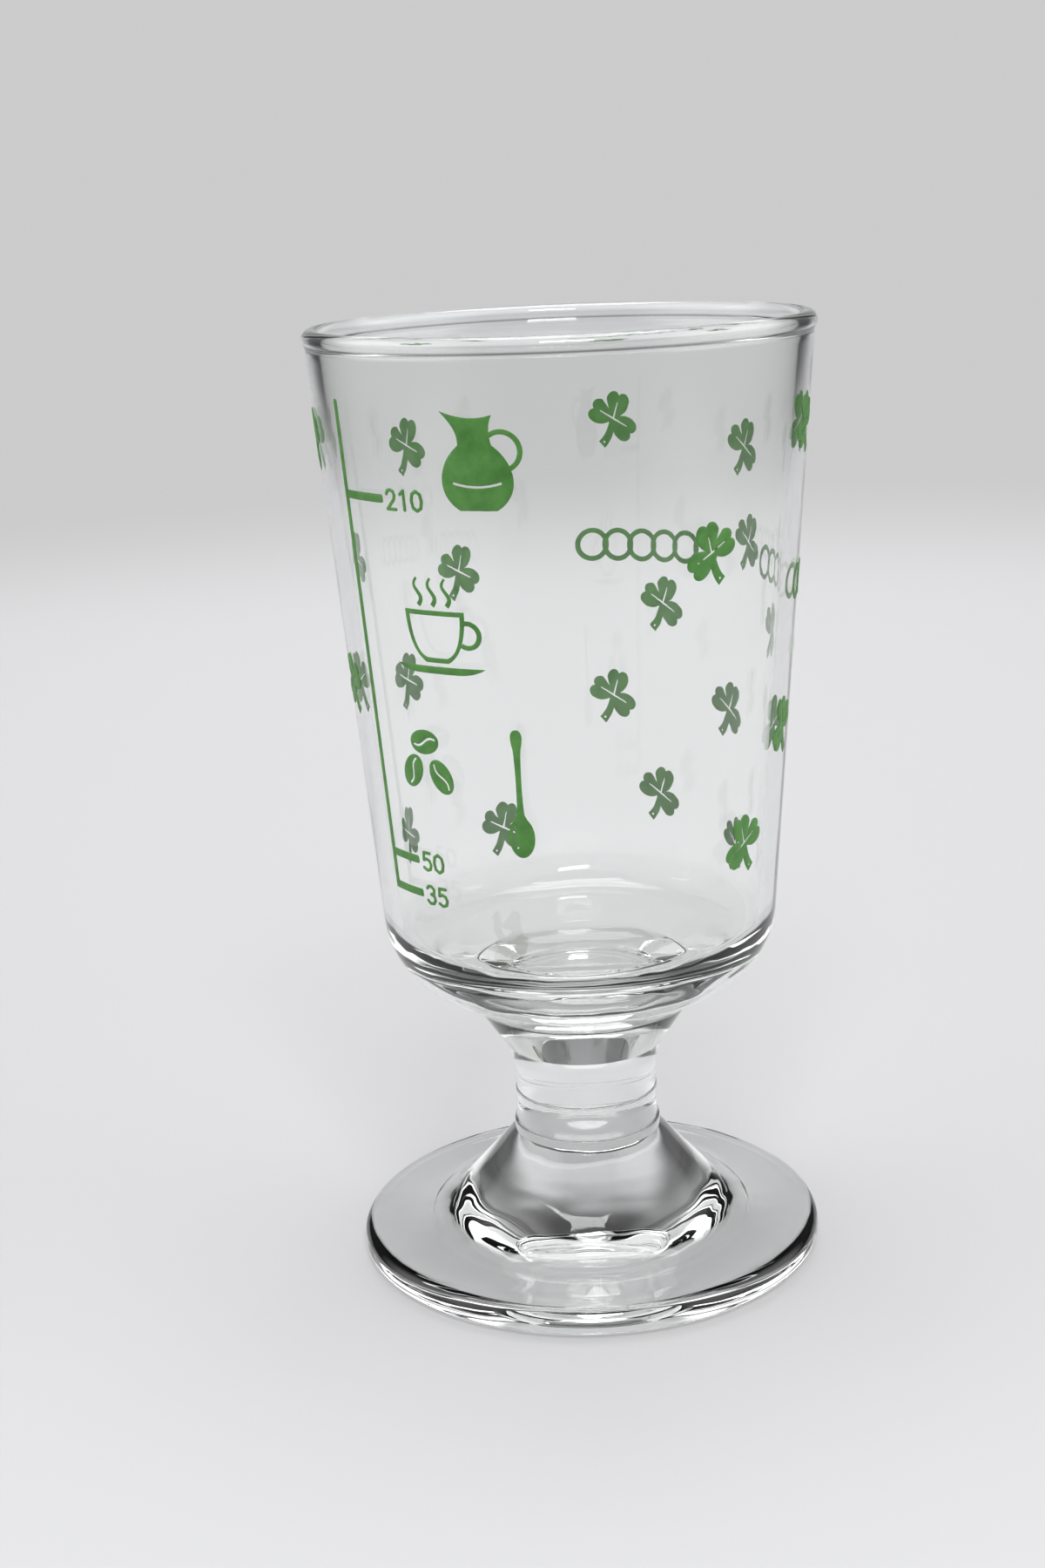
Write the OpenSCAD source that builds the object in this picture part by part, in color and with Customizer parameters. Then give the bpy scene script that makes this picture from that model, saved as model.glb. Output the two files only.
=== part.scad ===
// Footed glass for hot drinks topped with cream: a tapered bowl with a beaded rim and a
// thick base, fused to a short waisted stem and a wide pressed foot. Fired enamel prints
// lie on the outside of the bowl: a filling scale, four small figures, a chain border and
// scattered shamrocks. Sizes are in millimetres. The origin is the middle of the resting
// face, +Z is the axis of the glass, and the filling scale faces -Y.

/* [Bowl] */
// Height of the glass, from the table to the top of the rim
height = 146; // [120:1:180]
// Outer diameter of the wall, carried up to the top of the rim
mouth_d = 75; // [62:0.5:92]
// Outer diameter of the wall, carried down to its corner with the base
base_d = 60; // [48:0.5:72]
// Height of the turned-in base, from the seam under the bowl up to its corner with the wall
base_h = 14.7; // [12:0.1:18]
// Height of the slanted lug in the middle of the base, from the seam up
lug_h = 7; // [5:0.1:9]
// Diameter of the lug at its top, where the base turns outwards
lug_d = 34.4; // [28:0.1:42]
// Radius in the corner between the lug and the base
lug_r = 3; // [0.5:0.5:4]
// Radius that rounds the corner between the wall and the base
shoulder_r = 13.5; // [6:0.5:16]
// Thickness of the wall just below the rim
wall_t = 2; // [1.2:0.1:3.2]
// Thickness of the wall at the floor
wall_low_t = 2.9; // [1.8:0.1:4.5]
// Thickness of the solid glass under the middle of the floor
floor_t = 16.1; // [13:0.1:19.5]
// How far the middle of the floor is dished below its edge
floor_dish = 1.7; // [0.5:0.1:3]
// Radius of the corner between the floor and the wall
floor_r = 6; // [3:0.5:12]
// Width of the rounded bead on the rim
bead_w = 2.8; // [2.4:0.1:4]
// How far the bead stands out of the wall
bead_proud = 0.35; // [0.05:0.05:0.8]

/* [Stem] */
// Height of the stem between its two seams
stem_h = 13.2; // [11:0.1:18]
// Diameter of the waist, the thinnest place
waist_d = 22.3; // [16:0.1:27]
// Diameter of the flared top, at the seam under the bowl
stem_top_d = 24.5; // [20:0.1:27]
// Height of the straight part of the waist
waist_h = 7; // [3:0.5:9]
// How far the bowl's lug stands out over the stem at their seam
seam_step = 0.25; // [0.1:0.05:0.6]
// Height of the low ring round the waist
ring_h = 1.2; // [0.6:0.1:2.5]
// How far the low ring stands out of the waist
ring_proud = 0.18; // [0.05:0.01:0.4]

/* [Foot] */
// Diameter of the foot
foot_d = 73; // [60:0.5:90]
// Height of the foot, from the table up to the seam under the stem
foot_h = 20.5; // [15:0.5:28]
// Thickness of the rounded edge of the foot
edge_t = 4.4; // [3:0.1:7]
// Diameter of the ring where the slope of the bell and the flat brim would meet
bell_d = 45.2; // [38:0.2:56]
// Width of the flat ring that the glass stands on
rest_w = 7.6; // [2:0.1:10]
// Height of the hollow under the middle of the foot
hollow_h = 2.6; // [2:0.1:9]
// Height of the bead at the seam under the stem
collar_h = 1.5; // [0.8:0.1:3]
// How far the bead at the seam stands out
collar_proud = 0.45; // [0.1:0.05:0.8]

/* [Prints] */
// Thickness of the fired enamel
print_t = 0.15; // [0.08:0.01:0.4]
// Width of the upright line of the filling scale
line_w = 0.9; // [0.5:0.1:1.6]
// Length of the top tick, at the level of the drink
tick_l = 8.4; // [5:0.1:12]
// Length of the two low ticks
tick_low_l = 6.2; // [4:0.1:9]
// Width of the ticks
tick_w = 1.2; // [0.6:0.1:2]
// Width of the lines that the figures are drawn with
stroke_w = 0.7; // [0.4:0.05:1]
// Width of the unprinted lines inside the figures
gap_w = 0.32; // [0.2:0.02:0.5]
// Width of the cup figure, across its saucer
cup_w = 15; // [10:0.5:20]
// Height of the jug figure
jug_h = 13.5; // [9:0.5:18]
// Length of one coffee bean
bean_l = 5.4; // [3.5:0.1:7]
// Length of the spoon figure
spoon_l = 19; // [13:0.5:25]
// Outer diameter of one ring of the chain border
link_d = 5.4; // [4:0.1:7]
// Width of the line that a ring of the chain is drawn with
link_w = 0.8; // [0.4:0.1:1.2]
// Distance from one ring of the chain to the next
link_pitch = 4.3; // [3.2:0.1:5.4]
// Length of a shamrock leaf, from the middle to its tip
leaf_l = 4.3; // [3:0.1:5.5]
// Width of a shamrock leaf
leaf_w = 3.9; // [3:0.1:5.2]
// Length of the shamrock's stalk
stalk_l = 4.6; // [3:0.1:6]
// Width of the shamrock's stalk at its end
stalk_w = 1.5; // [0.8:0.1:2]
// Width of the unprinted veins in the middle of a shamrock
vein_w = 0.3; // [0.2:0.01:0.5]

/* [Hidden] */
// Facets of the large round surfaces, of the printed circles, and of the smallest ones
round_fn = 180;
print_fn = 64;
dot_fn = 16;
// Largest turn between two neighbouring points of a rounded corner, in degrees
arc_step = 7;
// Share of a side that one rounded corner may take up
side_share = 0.49;
// Overrun of the prints' depth past the widest wall
over = 1;

// Heights of the seams and of the wall's lower corner, and the half sizes
stem_z = foot_h;
bowl_z = foot_h + stem_h;
corner_z = bowl_z + base_h;
wall_h = height - corner_z;
mouth_r = mouth_d / 2;
base_r = base_d / 2;
waist_r = waist_d / 2;
stem_top_r = stem_top_d / 2;
foot_r = foot_d / 2;
seam_r = stem_top_r + seam_step;

// The straight wall that takes prints, and the heights between which a shamrock fits there
print_low_z = corner_z + shoulder_r * 0.6;
print_high_z = height - bead_w;
place_low_z = print_low_z + leaf_l * 1.05;
place_h = print_high_z - leaf_l * 1.05 - place_low_z;

// Colours of the clear glass and of the enamel
glass_colour = [0.82, 0.9, 0.9, 0.55];
enamel_colour = [0.28, 0.64, 0.3];

// Directions of the leaves, of their veins and of the stalk, from straight up, and the veins' reach
leaf_angles = [16, 130, -63];
vein_angles = [16, 119, -60];
stalk_angle = -160;
vein_share = 0.62;
// Places of the shamrocks: angle from the front, and share of the height for places
shamrock_shares = [
    [34.5, 0.697], [74, 0.896], [70, 0.325], [50, 0.127], [94, 0.47], [123, 0.809], [118, 0.622],
    [166, 0.855], [151, 0.473], [124, 0.272], [167, 0.272], [151, 0.068], [116, 0],
    [-82, 0.896], [-74, 0.435], [-110, 0.055], [-97, 0.638], [-133, 0.83], [-122, 0.36],
    [-147, 0.558], [-155, 0]
];
// Filling scale: angle of the line, share of its top end, and shares of its ticks
scale_angle = -59;
line_top_share = 0.982;
tick_shares = [0.055, 0.122, 0.81];
// Figures: angle from the front and share of the height for places
cup_place_share = [-33, 0.574];
jug_place_share = [-19, 0.883];
bean_place_share = [-40, 0.301];
spoon_place_share = [-14, 0.276];
// Chain border: angle of its gap, share of the height for places, and rings on each side
chain_angle = 121;
chain_share = 0.593;
chain_counts = [5, 6];

SHAMROCKS = [for (i = [1 : len(shamrock_shares)]) str("shamrock_", i < 10 ? "0" : "", i)];
TICKS = [for (i = [1 : len(tick_shares)]) str("fill_tick_", i)];

// Unit vector, cross product of two plane vectors, and a point without its radius
function unit(v) = v / norm(v);
function cross2(u, v) = u.x * v.y - u.y * v.x;
function xy(p) = [p.x, p.y];
// Signed turn from one direction to another, in degrees
function turn(a, b) = (b - a + 540) % 360 - 180;

// Points of an arc about c from angle a, over a signed sweep
function arc(c, r, a, sweep) = let (n = max(1, ceil(abs(sweep) / arc_step)))
    [for (i = [0 : n]) c + r * [cos(a + sweep * i / n), sin(a + sweep * i / n)]];

// The corner p between its neighbours, where p is [x, y, radius]
function corner(before, p, after) =
    let (
        q = xy(p), u = unit(xy(before) - q), v = unit(xy(after) - q),
        straight = abs(cross2(u, v)) < 0.001
    )
    (p.z == 0 || straight) ? [q] :
    let (
        half = acos(u * v) / 2,
        room = side_share * min(norm(xy(before) - q), norm(xy(after) - q)),
        reach = min(p.z / tan(half), room),
        r = reach * tan(half),
        c = q + unit(u + v) * r / sin(half),
        s = q + u * reach - c,
        e = q + v * reach - c,
        a = atan2(s.y, s.x)
    )
    arc(c, r, a, turn(a, atan2(e.y, e.x)));

// A closed outline of [x, y, radius] corners, as plain points
function rounded(pts) = let (n = len(pts))
    [for (i = [0 : n - 1]) each corner(pts[(i + n - 1) % n], pts[i], pts[(i + 1) % n])];

// Points of a cubic curve with end points a, d and handles b, c
function curve(a, b, c, d, n) = [for (i = [0 : n]) let (t = i / n, s = 1 - t)
    s * s * s * a + 3 * s * s * t * b + 3 * s * t * t * c + t * t * t * d];

// A line of points without its first one, and a line mirrored left to right and run backwards
function rest(pts) = [for (i = [1 : len(pts) - 1]) pts[i]];
function mirrored(pts) = [for (i = [len(pts) - 1 : -1 : 0]) [-pts[i].x, pts[i].y]];

// A band along a line of points, of width w0 at its start and w1 at its end
function band(pts, w0, w1) =
    let (
        n = len(pts) - 1,
        sides = [for (i = [0 : n])
            let (d = unit(pts[min(i + 1, n)] - pts[max(i - 1, 0)]))
            [-d.y, d.x] * (w0 + (w1 - w0) * i / n) / 2]
    )
    concat([for (i = [0 : n]) pts[i] - sides[i]], [for (i = [n : -1 : 0]) pts[i] + sides[i]]);

// Radius of the outside of the wall, and thickness of the wall, at height z
function wall_r(z) = base_r + (mouth_r - base_r) * (z - corner_z) / wall_h;
function wall_thick(z) = wall_low_t + (wall_t - wall_low_t) * (z - corner_z) / wall_h;
// Radius of the underside of the base at height z, above the lug
function under_r(z) =
    lug_d / 2 + (base_r - lug_d / 2) * (z - bowl_z - lug_h) / (base_h - lug_h);
// Height at a share of the height for places
function share_z(share) = place_low_z + place_h * share;

// The bowl in half section: lug, base, shoulder, wall, beaded rim, inside wall and floor
module bowl_section() {
    bead_r = bead_w / 2;
    bead_z = height - bead_r;
    bead_x = wall_r(bead_z) + bead_proud - bead_r;
    neck_z = height - bead_w;
    floor_z = bowl_z + floor_t;
    edge_z = floor_z + floor_dish;
    inner_r = min(wall_r(edge_z), under_r(edge_z)) - wall_thick(edge_z);
    polygon(rounded([
        [0, bowl_z, 0],
        [seam_r, bowl_z, 0],
        [lug_d / 2, bowl_z + lug_h, lug_r],
        [base_r, corner_z, shoulder_r],
        [wall_r(neck_z), neck_z, bead_r],
        [bead_x + bead_r * cos(30), bead_z - bead_r * sin(30), 0],
        [bead_x, bead_z, 0],
        [bead_x - bead_r * cos(30), bead_z - bead_r * sin(30), 0],
        [wall_r(neck_z) - wall_thick(neck_z), neck_z, bead_r],
        [inner_r, edge_z, floor_r],
        [inner_r / 2, floor_z + floor_dish * 0.15, inner_r],
        [0, floor_z, 0]
    ]));
    translate([bead_x, bead_z]) circle(bead_r, $fn = print_fn);
}

module bowl() {
    color(glass_colour) rotate_extrude($fn = round_fn) bowl_section();
}

// The stem in half section: waist with its low ring, and the flare up to the bowl
module stem_section() {
    flare_z = stem_z + waist_h;
    flare_h = bowl_z - flare_z;
    ring_z = stem_z + waist_h * 0.7;
    steps = 10;
    ring = [for (a = [-90 : 30 : 90])
        [waist_r + ring_proud * cos(a), ring_z + ring_h / 2 * sin(a)]];
    flare = [for (i = [0 : steps])
        [waist_r + (stem_top_r - waist_r) * pow(i / steps, 1.7), flare_z + flare_h * i / steps]];
    polygon(concat([[0, stem_z], [waist_r, stem_z]], ring, flare, [[0, bowl_z]]));
}

module stem() {
    color(glass_colour) rotate_extrude($fn = round_fn) stem_section();
}

// The foot in half section: neck with its seam bead, bell, rounded edge, rest ring and hollow
module foot_section() {
    neck_r = waist_r + collar_proud;
    neck_z = foot_h - collar_h;
    brim_r = foot_r - edge_t * 0.9;
    brim_z = edge_t * 1.06;
    ring_r = brim_r - rest_w;
    bell_foot = [bell_d / 2, edge_t * 1.34];
    neck = rest(rounded([
        [0, stem_z, 0],
        [neck_r, stem_z, collar_proud],
        [neck_r, neck_z, collar_proud],
        [waist_r, neck_z, 0]
    ]));
    bell = rest(curve(
        [neck_r - collar_proud * 0.4, neck_z], bell_foot, bell_foot, [brim_r, brim_z], 18));
    edge = rest(rounded([
        [brim_r, brim_z, 0],
        [foot_r, edge_t, edge_t / 2],
        [foot_r, 0, edge_t / 2],
        [brim_r, 0, 0]
    ]));
    hollow = curve(
        [ring_r, 0],
        [ring_r * 0.82, hollow_h * 0.85],
        [ring_r * 0.48, hollow_h],
        [0, hollow_h], 14);
    polygon(concat([[0, stem_z]], neck, bell, edge, hollow));
}

module foot() {
    color(glass_colour) rotate_extrude($fn = round_fn) foot_section();
}

// The thin skin on the straight wall that every print is cut from
module print_skin() {
    low_r = wall_r(print_low_z);
    high_r = wall_r(print_high_z);
    rotate_extrude($fn = round_fn) polygon([
        [low_r, print_low_z], [low_r + print_t, print_low_z],
        [high_r + print_t, print_high_z], [high_r, print_high_z]
    ]);
}

// A flat figure laid on the wall at an angle from the front and at height z
module on_wall(angle, z) {
    color(enamel_colour) intersection() {
        print_skin();
        rotate([0, 0, angle]) translate([0, 0, z]) rotate([90, 0, 0])
            linear_extrude(max(mouth_r, base_r) + print_t + over) children();
    }
}

// The upright line of the filling scale, from the lowest tick to its top
module fill_line() {
    low = share_z(tick_shares[0]) - tick_w / 2;
    line_h = share_z(line_top_share) - low;
    on_wall(scale_angle, low) polygon(rounded([
        [-line_w / 2, 0, 0], [line_w / 2, 0, 0],
        [line_w / 2, line_h, line_w / 2], [-line_w / 2, line_h, line_w / 2]
    ]));
}

// One tick of the filling scale, from the edge of the line to the right
module fill_tick(i) {
    length = i == len(tick_shares) - 1 ? tick_l : tick_low_l;
    on_wall(scale_angle, share_z(tick_shares[i])) translate([line_w / 2, -tick_w / 2])
        polygon(rounded([
            [0, 0, 0], [length, 0, tick_w / 4], [length, tick_w, tick_w / 4], [0, tick_w, 0]
        ]));
}

// Outline of the cup's body, drawn in by an inset
function cup_outline(inset) =
    let (
        w = cup_w / 3 - inset, h = cup_w * 0.5,
        side = curve([w * 0.38, inset], [w * 0.8, h * 0.16], [w * 0.98, h * 0.5], [w, h - inset], 8)
    )
    concat(side, mirrored(side));

// A cup on a saucer, drawn in outline, with three curls of steam
module cup_figure() {
    rim_z = cup_w * 0.5;
    handle_r = cup_w * 0.14;
    saucer = curve([cup_w * 0.22, 0], [cup_w * 0.34, 0],
        [cup_w * 0.44, stroke_w * 0.6], [cup_w / 2, stroke_w * 1.5], 5);
    difference() {
        union() {
            polygon(cup_outline(0));
            translate([cup_w * 0.35, rim_z * 0.56]) difference() {
                circle(handle_r, $fn = print_fn);
                circle(handle_r - stroke_w, $fn = print_fn);
            }
        }
        polygon(cup_outline(stroke_w));
    }
    translate([0, -stroke_w * 2.3]) polygon(concat(saucer, mirrored(saucer)));
    for (i = [-1 : 1])
        translate([i * cup_w * 0.16, rim_z + stroke_w]) polygon(band(
            [for (t = [0 : 0.1 : 1]) cup_w * [0.035 * sin(t * 360), 0.26 * t]], stroke_w, stroke_w / 2));
}

module cup_print() {
    on_wall(cup_place_share[0], share_z(cup_place_share[1]) - cup_w * 0.3) cup_figure();
}

// A pot-bellied cream jug, filled in, with a spout on the left and a handle on the right
module jug_figure() {
    belly = curve([0.2, 0], [0.47, 0.16], [0.42, 0.48], [0.18, 0.66], 9);
    back = curve([0.18, 0.66], [0.15, 0.74], [0.15, 0.88], [0.2, 0.96], 5);
    lip = curve([0.2, 0.96], [0.02, 0.91], [-0.14, 0.92], [-0.36, 1], 6);
    spout = curve([-0.36, 1], [-0.26, 0.9], [-0.17, 0.8], [-0.18, 0.66], 6);
    stripe = [for (t = [-1 : 0.2 : 1]) jug_h * [0.26 * t, 0.24 + 0.04 * t * t]];
    difference() {
        union() {
            polygon(jug_h * concat(belly, rest(back), rest(lip), rest(spout), rest(mirrored(belly))));
            translate(jug_h * [0.27, 0.6]) difference() {
                circle(jug_h * 0.22, $fn = print_fn);
                circle(jug_h * 0.22 - stroke_w, $fn = print_fn);
            }
        }
        polygon(band(stripe, gap_w, gap_w));
    }
}

module jug_print() {
    on_wall(jug_place_share[0], share_z(jug_place_share[1]) - jug_h / 2) jug_figure();
}

// One coffee bean with its curved groove
module bean_figure() {
    groove = [for (t = [-0.8 : 0.1 : 0.8]) bean_l / 2 * [t, 0.16 * sin(t * 200)]];
    difference() {
        polygon([for (a = [0 : 12 : 348]) bean_l / 2 * [cos(a), 0.68 * sin(a)]]);
        polygon(band(groove, gap_w, gap_w));
    }
}

// Three coffee beans in a small heap
module bean_print() {
    on_wall(bean_place_share[0], share_z(bean_place_share[1])) {
        translate(bean_l * [-0.52, 0]) rotate(62) bean_figure();
        translate(bean_l * [0.48, -0.06]) rotate(118) bean_figure();
        translate(bean_l * [0, 0.86]) rotate(8) bean_figure();
    }
}

// A spoon standing upright, bowl down, with an unprinted gleam in its bowl
module spoon_figure() {
    side = concat(
        [for (a = [-90 : 15 : 60]) [0.1 * cos(a), 0.16 + 0.16 * sin(a)]],
        curve([0.03, 0.34], [0.02, 0.42], [0.018, 0.6], [0.026, 0.8], 4),
        curve([0.032, 0.86], [0.05, 0.92], [0.055, 1], [0, 1], 5)
    );
    gleam = [for (a = [120 : 15 : 240]) spoon_l * [0.062 * cos(a), 0.17 + 0.11 * sin(a)]];
    difference() {
        polygon(spoon_l * concat(side, rest(mirrored(rest(side)))));
        polygon(band(gleam, gap_w, gap_w));
    }
}

module spoon_print() {
    on_wall(spoon_place_share[0], share_z(spoon_place_share[1]) - spoon_l / 2) spoon_figure();
}

// One half of the chain: interlinked rings in a row
module chain_figure(count) {
    for (i = [0 : count - 1])
        translate([link_pitch * (i - (count - 1) / 2), 0]) difference() {
            circle(link_d / 2, $fn = print_fn);
            circle(link_d / 2 - link_w, $fn = print_fn);
        }
}

// A border of interlinked rings, with a gap in its middle for a shamrock
module chain_border() {
    z = share_z(chain_share);
    for (side = [0, 1]) {
        middle = leaf_l * 1.55 + (link_d + link_pitch * (chain_counts[side] - 1)) / 2;
        on_wall(chain_angle + (side == 0 ? -1 : 1) * middle / wall_r(z) * 180 / PI, z)
            chain_figure(chain_counts[side]);
    }
}

// One heart-shaped leaf, standing up from the middle, with its two lobes
module leaf() {
    side = concat(
        curve([0, 0], [0.26, 0.12], [0.5, 0.3], [0.5, 0.64], 6),
        rest(curve([0.5, 0.64], [0.5, 0.98], [0.16, 1.1], [0, 0.88], 7))
    );
    outline = concat(side, rest(mirrored(rest(side))));
    polygon([for (p = outline) [p.x * leaf_w, p.y * leaf_l]]);
}

// A shamrock of three leaves with unprinted veins, and a curved stalk with its cut end open
module shamrock_figure() {
    stalk = curve([0, 0], stalk_l * [0.05, 0.35], stalk_l * [0.06, 0.7], stalk_l * [-0.1, 1], 7);
    difference() {
        union() {
            circle(leaf_w / 4, $fn = print_fn);
            for (a = leaf_angles) rotate(a) leaf();
            rotate(stalk_angle) polygon(band(stalk, stalk_w * 0.7, stalk_w));
        }
        for (a = vein_angles) rotate(a)
            polygon(band([[0, 0], [0, leaf_l * vein_share]], vein_w, vein_w / 2));
        rotate(stalk_angle) translate(stalk_l * [-0.05, 0.88]) circle(stalk_w * 0.2, $fn = dot_fn);
    }
}

module shamrock(i) {
    on_wall(shamrock_shares[i][0], share_z(shamrock_shares[i][1])) shamrock_figure();
}

bowl();
stem();
foot();
fill_line();
for (i = [0 : len(TICKS) - 1])
    fill_tick(i);
cup_print();
jug_print();
bean_print();
spoon_print();
chain_border();
for (i = [0 : len(SHAMROCKS) - 1])
    shamrock(i);
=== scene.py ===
"""Looks of a footed irish coffee glass: pressed glass, fired green enamel, plain studio."""

import math

import bmesh
import bpy
from mathutils import Matrix, Vector, geometry, kdtree, noise


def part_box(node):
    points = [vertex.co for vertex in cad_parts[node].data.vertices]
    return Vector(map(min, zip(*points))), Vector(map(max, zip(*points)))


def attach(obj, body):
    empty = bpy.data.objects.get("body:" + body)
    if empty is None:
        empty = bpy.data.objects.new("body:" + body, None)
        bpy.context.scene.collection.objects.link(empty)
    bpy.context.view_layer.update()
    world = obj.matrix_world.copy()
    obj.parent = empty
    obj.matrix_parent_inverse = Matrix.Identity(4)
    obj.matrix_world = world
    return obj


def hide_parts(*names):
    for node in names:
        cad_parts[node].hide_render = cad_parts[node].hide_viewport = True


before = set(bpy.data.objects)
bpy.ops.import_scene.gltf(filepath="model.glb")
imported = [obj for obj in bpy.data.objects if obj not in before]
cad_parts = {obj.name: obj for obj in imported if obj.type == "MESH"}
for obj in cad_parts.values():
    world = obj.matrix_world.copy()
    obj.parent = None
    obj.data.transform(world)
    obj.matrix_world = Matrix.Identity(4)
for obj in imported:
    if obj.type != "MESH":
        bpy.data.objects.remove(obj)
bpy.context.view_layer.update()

MM = 0.001
BODY = "root"
TINY = 1e-6

# Sizes of the glass, in millimetres
BOWL_BOX, STEM_BOX, FOOT_BOX = [
    [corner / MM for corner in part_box(node)] for node in ("bowl", "stem", "foot")
]
HEIGHT = BOWL_BOX[1].z
BOWL_Z = STEM_BOX[1].z
STEM_Z = STEM_BOX[0].z
FOOT_R = FOOT_BOX[1].x
MOUTH_R = 37.5
BASE_R = 30.0
BASE_H = 14.7
LUG_H = 7.0
LUG_R = 17.2
LUG_FILLET = 3.0
SHOULDER_R = 13.5
WALL_T = 2.0
WALL_LOW_T = 2.9
FLOOR_T = 16.1
FLOOR_DISH = 1.7
FLOOR_R = 6.0
BEAD_R = 1.4
BEAD_PROUD = 0.33
BEAD_LEAD = Vector((0.25, 0.5))
NECK_SWELL = 0.06
WAIST_R = 11.15
STEM_TOP_R = 12.25
WAIST_H = 7.0
SEAM_STEP = 0.25
SEAM_FILLET = 0.12
RING_H = 1.2
RING_PROUD = 0.18
EDGE_T = 4.4
BELL_D = 45.2
REST_W = 7.6
HOLLOW_H = 2.6
COLLAR_H = 1.5
COLLAR_PROUD = 0.45

# Sizes of the prints, in millimetres
PRINT_T = 0.15
LINE_W = 0.9
TICK_L = 8.4
TICK_LOW_L = 6.2
TICK_W = 1.2
STROKE_W = 0.7
GAP_W = 0.32
CUP_W = 15.0
JUG_H = 13.5
BEAN_L = 5.4
SPOON_L = 19.0
LINK_D = 5.4
LINK_W = 0.8
LINK_PITCH = 4.3
LEAF_L = 4.3
LEAF_W = 3.9
STALK_L = 4.6
STALK_W = 1.5
VEIN_W = 0.3

# Places of the shamrocks: degrees from the front, and share of the height for places
SHAMROCK_PLACES = [
    (34.5, 0.697), (74, 0.896), (70, 0.325), (50, 0.127), (94, 0.47), (123, 0.809), (118, 0.622),
    (166, 0.855), (151, 0.473), (124, 0.272), (167, 0.272), (151, 0.068), (116, 0),
    (-82, 0.896), (-74, 0.435), (-110, 0.055), (-97, 0.638), (-133, 0.83), (-122, 0.36),
    (-147, 0.558), (-155, 0),
]
# Directions in a shamrock, in degrees from straight up
LEAF_ANGLES = (16, 130, -63)
VEIN_ANGLES = (16, 119, -60)
WEDGE_ANGLE = -25
STALK_ANGLE = -160
# Reach of the veins, start of the wedge and half its width, as shares of a leaf's length
VEIN_SHARE = 0.62
WEDGE_START_SHARE = 0.42
WEDGE_HALF_SHARE = 0.12

# Places of the other prints, measured in the same way
SCALE_ANGLE = -59
LINE_TOP_SHARE = 0.982
TICK_SHARES = (0.055, 0.122, 0.81)
CUP_PLACE = (-33, 0.574)
JUG_PLACE = (-19, 0.883)
BEAN_PLACE = (-40, 0.301)
SPOON_PLACE = (-14, 0.276)
CHAIN_ANGLE = 121
CHAIN_SHARE = 0.593
CHAIN_COUNTS = (5, 6)

# Plain numerals at the ticks: the volume of the bowl up to each, in millilitres
VOLUMES = ("35", "50", "210")
DIGIT_H = 2.7
DIGIT_W = 1.7
DIGIT_STROKE = 0.48
DIGIT_STEP = 2.35
DIGIT_GAP = 0.9

# Fineness of the meshes: steps round the glass, degrees of an arc, and millimetres
LATHE_STEPS = 256
ARC_STEP = 4.0
GRID = 0.42
GRID_ROW = GRID * 0.87
OUTLINE_STEP = GRID * 0.8
MERGE_GAP = 1e-4

# Edges that turn by less than this many degrees are shaded smooth
SMOOTH_GLASS = 38
SMOOTH_PRINT = 50
SMOOTH_STAGE = 60

# A print's depth in the wall, the width of its thin edge and that edge's share of the thickness
SINK = 0.02
SOFT_EDGE = 0.3
EDGE_SHARE = 0.45

# Width beside another print in which a print's edge stays thick
TOUCH_W = 0.05

# Raggedness of the prints' outlines and of the numerals', in millimetres; its scale and seed
RAGGED = 0.02
RAGGED_DIGITS = 0.01
RAGGED_SCALE = 1.9
RAGGED_SEED = 7

# Deepest waves that pressing leaves in thick glass, in the stem and in the inside of the wall,
# and the length and share of each of the two sizes of waves
THICK_WAVE = 0.2
STEM_WAVE = 0.06
WALL_WAVE = 0.03
WAVE_LENGTHS = ((9.0, 0.7), (3.8, 0.3))

# Lengths over which the waves start beside a seam or a resting face, above the bowl's seam and
# below the rim, and the depth under the floor from where on a point is on the outside
WAVE_START = 1.0
BOWL_START = 2.0
RIM_START = 4.0
UNDER_FLOOR = 0.5

# Glass: colour, refractive index, roughness in its haze, and the share of a lamp's light that
# comes through it, face on and edge on
GLASS_TINT = (0.978, 0.988, 0.983, 1)
GLASS_IOR = 1.52
HAZE = 0.035
LIGHT_THROUGH = (0.9, 0.25)

# Enamel: its two greens, refractive index, roughness, and the share of light that comes through
ENAMEL_DARK = (0.078, 0.258, 0.05, 1)
ENAMEL_LIGHT = (0.138, 0.385, 0.085, 1)
ENAMEL_IOR = 1.5
ENAMEL_ROUGHNESS = (0.3, 0.46)
ENAMEL_THROUGH = 0.3

# Paper: its pale colour, the dark grey of a painted shade, its change to that shade to the sides,
# to the front and upwards, and its fade far out into a painted glow like the air, in metres
PAPER_PAINTED_SHADE = (0.07, 0.07, 0.073, 1)
PAPER_PALE = (0.62, 0.62, 0.63, 1)
SIDE_FADE = (0.42, 0.75)
FRONT_FADE = (-0.2, -0.6)
TOP_FADE = (0.45, 1.0)
FAR_FADE = (0.55, 0.98)

# A ray that has passed more surfaces of glass than this has gone through both walls of the bowl
BOTH_WALLS = 2.5

# Brightness of the air as it lights and as it is seen, and the directions, the reach in degrees
# and the brightness of the two broad lights in it
AIR_LEVEL = 0.11
AIR_SEEN = 0.6
PANEL_AIMS = ((-1.0, -0.15, 0.45), (1.0, -0.15, 0.45))
PANEL_REACH = 48.0
PANEL_LEVEL = 1.9

# Lamps: name, place, size, power in watts, and the place that they face
GLASS_MIDDLE = (0.0, 0.0, 0.08)
LAMPS = (
    ("key", (0.05, -0.8, 0.95), (0.4, 0.25), 6.8, GLASS_MIDDLE),
    ("overhead", (0.0, 0.3, 1.2), (0.7, 0.7), 7.0, GLASS_MIDDLE),
    ("backdrop_light", (0.0, 0.5, 0.95), (0.8, 0.3), 4.4, (0.0, 1.5, 0.55)),
)

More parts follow.
